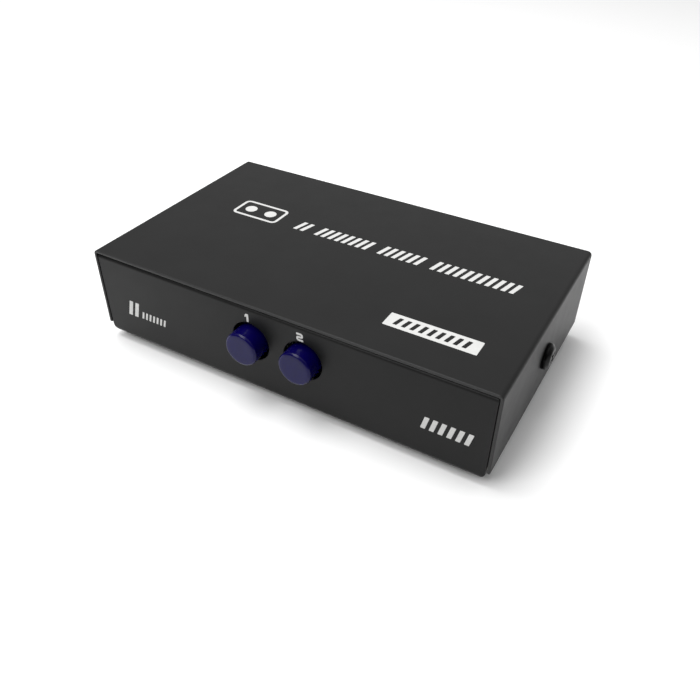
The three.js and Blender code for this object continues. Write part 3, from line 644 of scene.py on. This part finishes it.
def base_tray():
    low, high = box_mm("base_tray")
    screw = centre_mm("cover_screw_right")
    middle_y = (low.y + high.y) / 2
    front, rear = low.y + SHEET / 2, high.y - SHEET / 2
    floor, flange = low.z + SHEET / 2, high.z - SHEET / 2
    top_bend, floor_bend = TRAY_TOP_BEND - SHEET / 2, TRAY_FLOOR_BEND - SHEET / 2
    panels = Fold(
        [(front + TOP_FLANGE, flange), (front, flange), (front, floor),
         (rear, floor), (rear, flange), (rear - TOP_FLANGE, flange)],
        [top_bend, floor_bend, floor_bend, top_bend],
    )
    half = box_mm("top_cover")[1].x - SHEET - TRAY_CLEARANCE
    edge = half - SHEET / 2
    wing = Fold([(0, floor), (edge, floor), (edge, low.z + EAR_TOP)], [floor_bend])
    wing_bends = wing.bends()

    def u_floor(y):
        return panels.locate(2, 0, middle_y + y)

    relief = SIDE_FLANGE_HALF_LENGTH + BEND_RELIEF
    wing_low = u_floor(BEND_RELIEF / 2 - relief)
    wing_high = u_floor(relief - BEND_RELIEF / 2)

    def place(u, v, w):
        point, normal = panels.at(u)
        across, up = v, point.y + normal.y * w
        if abs(v) > wing_bends[0] and wing_low < u < wing_high:
            spot, inward = wing.at(abs(v))
            across = math.copysign(spot.x + inward.x * w, v)
            up = spot.y + inward.y * w
        return Vector((across, point.x + normal.x * w, up))

    relief_u, notch_v = u_floor(-relief), wing_bends[0] - RELIEF_CORNER
    flange_u, flange_v = u_floor(-SIDE_FLANGE_HALF_LENGTH), wing.locate(1, 1, low.z + SIDE_FLANGE_HEIGHT)
    ear_u = u_floor(-EAR_HALF_WIDTH)
    wing_side = [
        (relief_u - TRAY_CORNER_CUT, half, TRAY_CORNER_RADIUS), (relief_u, notch_v, RELIEF_CORNER),
        (flange_u, notch_v, RELIEF_CORNER), (flange_u, flange_v, SIDE_FLANGE_CORNER),
        (ear_u, flange_v, SIDE_FLANGE_CORNER), (ear_u, wing.length, EAR_CORNER),
    ]
    ends = u_floor(0) * 2
    near = [(u, -v, *r) for u, v, *r in wing_side]
    near += [(ends - u, v, *r) for u, v, *r in reversed(near)]
    far = [(u, -v, *r) for u, v, *r in reversed(near)]
    outline = [(0, -half), *near, (panels.length, -half), (panels.length, half), *far, (0, half)]
    loops = [rounded_loop(outline, SHEET_CORNER, CORNER_STEPS)]

    for cap in ("button_cap_a", "button_cap_b"):
        spot = centre_mm(cap)
        hole_u = panels.locate(1, 1, spot.z)
        loops.append(round_hole(hole_u, spot.x, BUTTON_HOLE_RADIUS, BUTTON_HOLE_STEPS))
    ear_hole = wing.locate(1, 1, screw.z)
    for v in (-ear_hole, ear_hole):
        loops.append(round_hole(u_floor(screw.y - middle_y), v, SCREW_HOLE_RADIUS))
    for port in ("host_port_1", "host_port_2", "device_port"):
        port_low, port_high = port_box(port)
        us = [panels.locate(3, 1, z) for z in (port_low.z - PORT_GAP, port_high.z + PORT_GAP)]
        opening = rectangle(*us, port_low.x - PORT_GAP, port_high.x + PORT_GAP)
        loops.append(rounded_loop(opening[::-1], PORT_CORNER))
    bm = bmesh.new()
    folds = [FoldLine(0, u) for u in panels.bends()]
    folds += [FoldLine(1, side * v, wing_low, wing_high) for side in (-1, 1) for v in wing_bends]
    sheet(bm, loops, place, SHEET, folds=folds)
    return piece("base_tray_folded", bm, "powder_coat", "case", "base_tray")


def port_box(port):
    """Box of a port's shell without its solder tabs."""
    low, high = box_mm(port + "_shell")
    board_top = box_mm("circuit_board")[1].z
    return Vector((low.x, low.y, board_top + PORT_LIFT)), high


def foot(node):
    low, high = box_mm(node)
    middle = (low + high) / 2
    radius = (high.x - low.x) / 2
    top = high.z - low.z
    profile = rounded_profile([
        (0, 0), (radius - 0.3, 0, 0.45), (radius, top, 0.08), (radius - 0.6, top), (0, top),
    ])
    bm = bmesh.new()
    lathe(bm, profile, Matrix.Translation((middle.x, middle.y, low.z)))
    return piece(node + "_moulded", bm, "foot_rubber", "case", node)


def cross_recess(head_height):
    """A plus-shaped cutter that starts over a screw's head and tapers to the recess's floor."""
    arm, half = CROSS_ARM, CROSS_HALF_WIDTH
    quarter = [(arm, half), (half, half), (half, arm)]
    plus = []
    for _ in range(4):
        plus += quarter
        quarter = [(-y, x) for x, y in quarter]
    cutter = bmesh.new()
    levels = [(head_height + 0.5, 1.12), (head_height - head_height * CROSS_DEPTH, 0.66)]
    rings = [[cutter.verts.new((x * scale, y * scale, z)) for x, y in plus] for z, scale in levels]
    for i in range(len(plus)):
        j = (i + 1) % len(plus)
        cutter.faces.new((rings[0][i], rings[0][j], rings[1][j], rings[1][i]))
    cutter.faces.new(rings[0])
    cutter.faces.new(rings[1])
    return cutter


def screw(node, slot, matrix, head_radius, head_height, length):
    """Pan-head screw with a cross recess. The matrix's Z axis points out of the head's top."""
    bottom, top = SCREW_POINT - length, -THREAD_FADE
    steps = round((top - bottom) / THREAD_PITCH * THREAD_RINGS)

    def thread(angle, height):
        """Depth of the thread, which fades out at the point and under the head."""
        turn = (height / THREAD_PITCH - angle / (2 * math.pi)) % 1
        fade = min(1, max(0, height - bottom) / THREAD_FADE, max(0, top - height) / THREAD_FADE)
        return -THREAD_DEPTH * abs(2 * turn - 1) * fade

    profile = rounded_profile([
        (0, -length), (SCREW_RADIUS - SCREW_POINT, -length, 0.05),
        *[(SCREW_RADIUS, bottom + (top - bottom) * k / steps) for k in range(steps + 1)],
        (SCREW_RADIUS, SEAT_GAP, 0.05), (head_radius, SEAT_GAP, 0.12),
        (head_radius, head_height * 0.55, 0.5), (head_radius * 0.72, head_height, 0.9), (0, head_height),
    ])
    bm = bmesh.new()
    lathe(bm, profile, segments=64, relief=thread)
    bm = cut(bm, cross_recess(head_height))
    bmesh.ops.transform(bm, matrix=matrix, verts=bm.verts)
    return piece(node + "_turned", bm, slot, "case", node)


def cover_screws():
    side_x = box_mm("top_cover")[1].x
    for node, side in (("cover_screw_left", -1), ("cover_screw_right", 1)):
        low, high = box_mm(node)
        spot = Vector((side * side_x, (low.y + high.y) / 2, (low.z + high.z) / 2))
        turn = Matrix.Rotation(side * math.pi / 2, 4, "Y") @ Matrix.Rotation(COVER_SCREW_TURN, 4, "Z")
        head_radius = (high.z - low.z) / 2
        head_height = (high.x if side > 0 else -low.x) - side_x
        length = (high.x - low.x) - head_height
        screw(node, "black_screw", Matrix.Translation(spot) @ turn, head_radius, head_height, length)


def board_screws():
    top = box_mm("circuit_board")[1].z
    for index, node in enumerate(n for n in sorted(frame["nodes"]) if n.startswith("board_screw_")):
        low, high = box_mm(node)
        spot = Vector(((low.x + high.x) / 2, (low.y + high.y) / 2, top))
        turn = Matrix.Rotation(BOARD_SCREW_TURN * index, 4, "Z")
        radius = (high.x - low.x) / 2
        screw(node, "zinc_steel", Matrix.Translation(spot) @ turn, radius, high.z - top, top - low.z)


# Buttons and switches


def button_cap(letter):
    node = "button_cap_" + letter
    low, high = box_mm(node)
    radius = (high.x - low.x) / 2
    length = high.y - low.y
    hollow = length - CAP_HOLLOW_FLOOR
    inner = radius - CAP_WALL
    profile = rounded_profile([
        (0, length - CAP_DISH), (radius - 1.6, length - CAP_DISH / 2), (radius - 0.02, length, 0.7),
        (radius, 0, 0.15), (inner, 0, 0.1), (inner, hollow, 0.25),
        (CAP_BOSS_RADIUS, hollow, 0.25), (CAP_BOSS_RADIUS, 0, 0.1), (0, 0),
    ])
    bm = bmesh.new()
    lathe(bm, profile, segments=128)
    socket = bmesh.new()
    bmesh.ops.create_cube(socket, size=1)
    socket_size = CAP_SOCKET, CAP_SOCKET, 2 * (length - CAP_SOCKET_FLOOR)
    bmesh.ops.scale(socket, vec=socket_size, verts=socket.verts)
    bm = cut(bm, socket)
    middle = (low + high) / 2
    place = Matrix.Translation((middle.x, high.y, middle.z)) @ Matrix.Rotation(math.pi / 2, 4, "X")
    bmesh.ops.transform(bm, matrix=place, verts=bm.verts)
    return piece(node + "_moulded", bm, "indigo_plastic", "button_" + letter, node)


def helix(radius, length, turns, steps=28):
    """Points of a coil about Z whose end turns lie closer together than its middle ones."""
    points = []
    for i in range(turns * steps + 1):
        t = i / (turns * steps)
        angle = 2 * math.pi * turns * t
        along = length * (t - 0.5 * math.sin(2 * math.pi * t) / (2 * math.pi))
        points.append(Vector((radius * math.cos(angle), radius * math.sin(angle), along)))
    return points


def coil_spring(node, axis, wire):
    """A coil along an axis ("X" or "Y"), wound to fill its CAD node's box."""
    low, high = box_mm(node)
    middle = (low + high) / 2
    along = "XYZ".index(axis)
    radius = (high.z - low.z) / 2 - wire
    length = high[along] - low[along]
    bm = bmesh.new()
    swept(bm, helix(radius, length - 2 * wire, SPRING_TURNS), wire)
    start = middle.copy()
    start[along] = low[along] + wire
    turn = Matrix.Rotation(math.pi / 2, 4, "Y")
    if axis == "Y":
        turn = Matrix.Rotation(-math.pi / 2, 4, "X")
    bmesh.ops.transform(bm, matrix=Matrix.Translation(start) @ turn, verts=bm.verts)
    spring = piece(node + "_wound", bm, "spring_steel", "case", node)
    anchor = middle.copy()
    anchor[along] = high[along]
    direction = Vector((0, 0, 0))
    direction[along] = 1
    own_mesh(spring)


def broken_edges(node, slot, width, angle=35):
    """The CAD node's own shape with its sharp edges rounded."""
    bm = bmesh.new()
    bm.from_mesh(frame["nodes"][node].data)
    bmesh.ops.scale(bm, vec=(1 / MM,) * 3, verts=bm.verts)
    bmesh.ops.remove_doubles(bm, verts=bm.verts, dist=1e-4)
    bmesh.ops.dissolve_limit(bm, angle_limit=math.radians(0.6), verts=bm.verts, edges=bm.edges)
    sharp = [e for e in bm.edges if e.is_manifold and e.calc_face_angle() > math.radians(angle)]
    bmesh.ops.bevel(bm, geom=sharp, offset=width, segments=2, profile=0.5, affect="EDGES",
                    clamp_overlap=True)
    body = frame["nodes"][node]["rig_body"]
    return piece(node + "_finished", bm, slot, body, node)


# Print


def ink(bm, loops, origin, across, up):
    """Adds one printed shape on a flat face, from outlines in the face's own two directions."""
    normal = across.cross(up)

    def place(u, v, w):
        return origin + across * u + up * v + normal * w

    sheet(bm, loops, place, INK_THICKNESS, edge=INK_EDGE)


def slanted_bar(u, v, width, height, slant=0.25, radius=0.12):
    lean = height * slant
    corners = [(u, v), (u + width, v), (u + width + lean, v + height), (u + lean, v + height)]
    return rounded_loop(corners, radius, 3)


def stroke(corners, radius, width):
    """Outline of a line of even width with rounded turns and square ends."""
    fold = Fold(corners, [radius] * (len(corners) - 2))
    stations = [0.0, *fold.bends(5), fold.length]
    right, left = [], []
    for i, u in enumerate(stations):
        point, normal = fold.at(u)
        along = Vector((normal.y, -normal.x))
        end = -along if i == 0 else along if i == len(stations) - 1 else Vector((0, 0))
        right.append((point - normal * width / 2, end - normal))
        left.append((point + normal * width / 2, end + normal))
    return right + left[::-1]


def bar_group(u, v, count, height, width=BAR_WIDTH, pitch=BAR_PITCH):
    """A row of slanted bars, each a shape of one outline."""
    return [[slanted_bar(u + pitch * i, v, width, height)] for i in range(count)]


def knocked_out(loop):
    """The same outline as a hole."""
    return [(point, -normal) for point, normal in reversed(loop)]


def pictogram():
    """A plain outline of a panel with two round buttons."""
    line = PICTOGRAM_LINE
    left, right, low, high = PICTOGRAM
    middle = (low + high) / 2
    inner = rectangle(left + line, right - line, low + line, high - line)
    border = [rounded_loop(rectangle(*PICTOGRAM), 2 * line), knocked_out(rounded_loop(inner, line))]
    holes = [round_hole(u, middle, PICTOGRAM_BUTTON, 40) for u in (left + 4, right - 4)]
    return [border, *[[knocked_out(hole)] for hole in holes]]


def top_print():
    """White shapes on the cover: a row of bar groups, a two-button pictogram and a banded block."""
    low, high = box_mm("top_cover")
    origin = Vector((0, (low.y + high.y) / 2, high.z))
    shapes = pictogram()
    u, v = TITLE_START
    for count in TITLE_GROUPS:
        shapes += bar_group(u, v, count, TITLE_HEIGHT)
        u += BAR_PITCH * count + TITLE_GAP
    bars = bar_group(BLOCK[0] + BLOCK_MARGIN[0], BLOCK[2] + BLOCK_MARGIN[1], **BLOCK_BARS)
    block = rounded_loop(rectangle(*BLOCK), BLOCK_CORNER)
    shapes.append([block, *[knocked_out(bar) for bar, in bars]])
    bm = bmesh.new()
    for loops in shapes:
        ink(bm, loops, origin, Vector((1, 0, 0)), Vector((0, 1, 0)))
    return piece("top_print", bm, "print_white", "case")


def digit_one(u, v, height, line=0.6):
    """Outline of a plain 1 whose stem ends at u on its right."""
    stem, flag = u - line, u - line - 0.5
    corners = [(u, v), (u, v + height), (stem - 0.1, v + height), (flag, v + height - 0.45)]
    corners += [(flag, v + height - 1.05), (stem, v + height - 0.8), (stem, v)]
    return rounded_loop(corners, 0.03, 2)


def digit_two(u, v, height, line=0.55, width=1.8):
    """Outline of a plain 2 drawn in one stroke and centred on u."""
    low, high = v + line / 2, v + height - line / 2
    left, right = u - width / 2 + line / 2, u + width / 2 - line / 2
    middle = (low + high) / 2
    turns = [(right, high), (right, middle), (left, middle), (left, low)]
    return stroke([(left - line / 2, high), *turns, (right + line / 2, low)], line / 2 + 0.02, line)


def front_print():
    """White shapes on the front panel: the digits 1 and 2 over the buttons, and slanted bars."""
    low, _ = box_mm("base_tray")
    cap_a, cap_b = centre_mm("button_cap_a"), centre_mm("button_cap_b")
    shapes = [[digit_one(cap_a.x, DIGIT_LEVEL, DIGIT_HEIGHT)]]
    shapes.append([digit_two(cap_b.x - 0.5, DIGIT_LEVEL, DIGIT_HEIGHT)])
    for group in FRONT_BARS:
        shapes += bar_group(**group)
    bm = bmesh.new()
    for loops in shapes:
        ink(bm, loops, Vector((0, low.y, low.z)), Vector((1, 0, 0)), Vector((0, 0, 1)))
    return piece("front_print", bm, "print_white", "case")


# Stage


def studio():
    """A white floor under a sky that is bright overhead and behind, and dim at the viewer's side."""
    floor = bpy.data.meshes.new("floor")
    corners = rectangle(-FLOOR_REACH, FLOOR_REACH, -FLOOR_REACH, FLOOR_REACH)
    floor.from_pydata([(x, y, 0) for x, y in corners], [], [(0, 1, 2, 3)])
    material = bpy.data.materials.new("floor")
    material.use_nodes = True
    bsdf = material.node_tree.nodes["Principled BSDF"]
    bsdf.inputs["Base Color"].default_value = FLOOR_COLOR
    bsdf.inputs["Roughness"].default_value = 0.9
    bsdf.inputs["Specular IOR Level"].default_value = 0.1
    floor.materials.append(material)
    ground = bpy.data.objects.new("floor", floor)
    bpy.context.scene.collection.objects.link(ground)

    world = bpy.data.worlds.new("studio")
    bpy.context.scene.world = world
    world.use_nodes = True
    tree = world.node_tree
    direction = add(tree, "TexCoord").outputs["Generated"]
    height = add(tree, "VectorMath", {"operation": "DOT_PRODUCT"})
    tree.links.new(direction, height.inputs[0])
    height.inputs[1].default_value = Vector(SKY_BRIGHT_SIDE).normalized()
    strength = remap(tree, height.outputs["Value"], SKY_DIM, SKY_BRIGHT, 0.25, 0.95)
    tree.links.new(strength, tree.nodes["Background"].inputs["Strength"])
    tree.nodes["Background"].inputs["Color"].default_value = (1, 1, 1, 1)

    soft_light("overhead", (-0.2, -0.02, 0.7), 0.5, 3.8)
    soft_light("fill", (-0.15, -0.42, 0.5), 0.35, 1.9)


def soft_light(name, place, size, power):
    """A round lamp aimed at the box, with its place and size in metres."""
    light = bpy.data.lights.new(name, "AREA")
    light.shape = "DISK"
    light.size = size
    light.energy = power
    lamp = bpy.data.objects.new(name, light)
    lamp.location = place
    lamp.rotation_euler = (-Vector(place)).to_track_quat("-Z", "Y").to_euler()
    bpy.context.scene.collection.objects.link(lamp)


def camera():
    """The camera stands right of the front panel and looks down on the box."""
    data = bpy.data.cameras.new("camera")
    data.lens = CAMERA_LENS
    data.sensor_width = 36
    data.clip_start = 0.01
    eye = bpy.data.objects.new("camera", data)
    cover = centre_mm("top_cover")
    tray_low = box_mm("base_tray")[0]
    eye.location = (Vector((cover.x, cover.y, tray_low.z)) + Vector(CAMERA_PLACE)) * MM
    eye.rotation_euler = [math.radians(angle) for angle in CAMERA_ANGLES]
    bpy.context.scene.collection.objects.link(eye)
    bpy.context.scene.camera = eye
    bpy.context.scene.view_settings.view_transform = "Standard"


def build():
    top_cover()
    base_tray()
    cover_screws()
    board_screws()
    slots = {row["node"]: row["material_slot"] for row in frame["record"]["subparts"]}
    for node in sorted(frame["nodes"]):
        if node.startswith("foot_"):
            foot(node)
        width = next((size for part, size in EDGE_BREAKS.items() if part in node), None)
        if width:
            broken_edges(node, slots[node], width)
    for letter in "ab":
        button_cap(letter)
        coil_spring("return_spring_" + letter, "Y", RETURN_WIRE_RADIUS)
    coil_spring("latch_spring", "X", LATCH_WIRE_RADIUS)
    top_print()
    front_print()


build()
studio()
camera()
